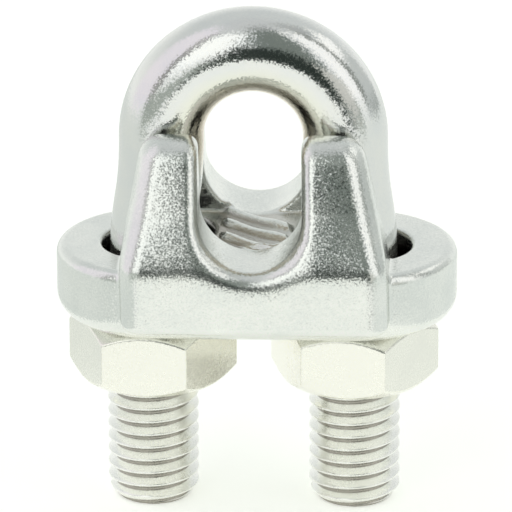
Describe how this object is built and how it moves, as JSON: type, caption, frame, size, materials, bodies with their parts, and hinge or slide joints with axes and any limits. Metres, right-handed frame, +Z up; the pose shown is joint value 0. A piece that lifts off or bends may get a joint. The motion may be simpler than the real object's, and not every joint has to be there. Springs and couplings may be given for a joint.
{
  "type": "wire rope clip",
  "caption": "U-bolt wire rope clip: a threaded U-bolt, a horned saddle with a ribbed rope seat that slides on its legs, and hexagon nuts that draw the saddle up.",
  "frame": {"origin": "on the ground under the middle of the saddle, with the clip standing on the ends of its threaded legs", "axes": "+Z up, from the leg ends to the bow; X from leg to leg; Y along the rope, with -Y towards the viewer of the front wing"},
  "size_m": [0.0434, 0.0282, 0.0564],
  "materials": {
    "polished_steel": "polished stainless steel, fine grain",
    "cast_steel": "polished cast stainless steel with a fine speckle",
    "nut_steel": "machined stainless steel, satin"
  },
  "bodies": {
    "u_bolt": {"u_bolt": "polished_steel"},
    "saddle": {"saddle": "cast_steel"},
    "left_nut": {"left_nut": "nut_steel"},
    "right_nut": {"right_nut": "nut_steel"}
  },
  "joints": [
    {"name": "saddle_slide", "type": "slide", "parent": "u_bolt", "child": "saddle", "axis": [0, 0, 1], "range_m": [-0.012, 0.006]},
    {"name": "left_nut_spin", "type": "hinge", "parent": "saddle", "child": "left_nut", "pos_m": [-0.01135, 0, 0.01775], "axis": [0, 0, 1], "range_deg": [-2880, 1440]},
    {"name": "right_nut_spin", "type": "hinge", "parent": "saddle", "child": "right_nut", "pos_m": [0.01065, 0, 0.01775], "axis": [0, 0, 1], "range_deg": [-2880, 1440]}
  ],
  "couplings": [
    {"joint": "left_nut_spin", "follows": "saddle_slide", "rad_per_m": 4188.8},
    {"joint": "right_nut_spin", "follows": "saddle_slide", "rad_per_m": 4188.8}
  ]
}
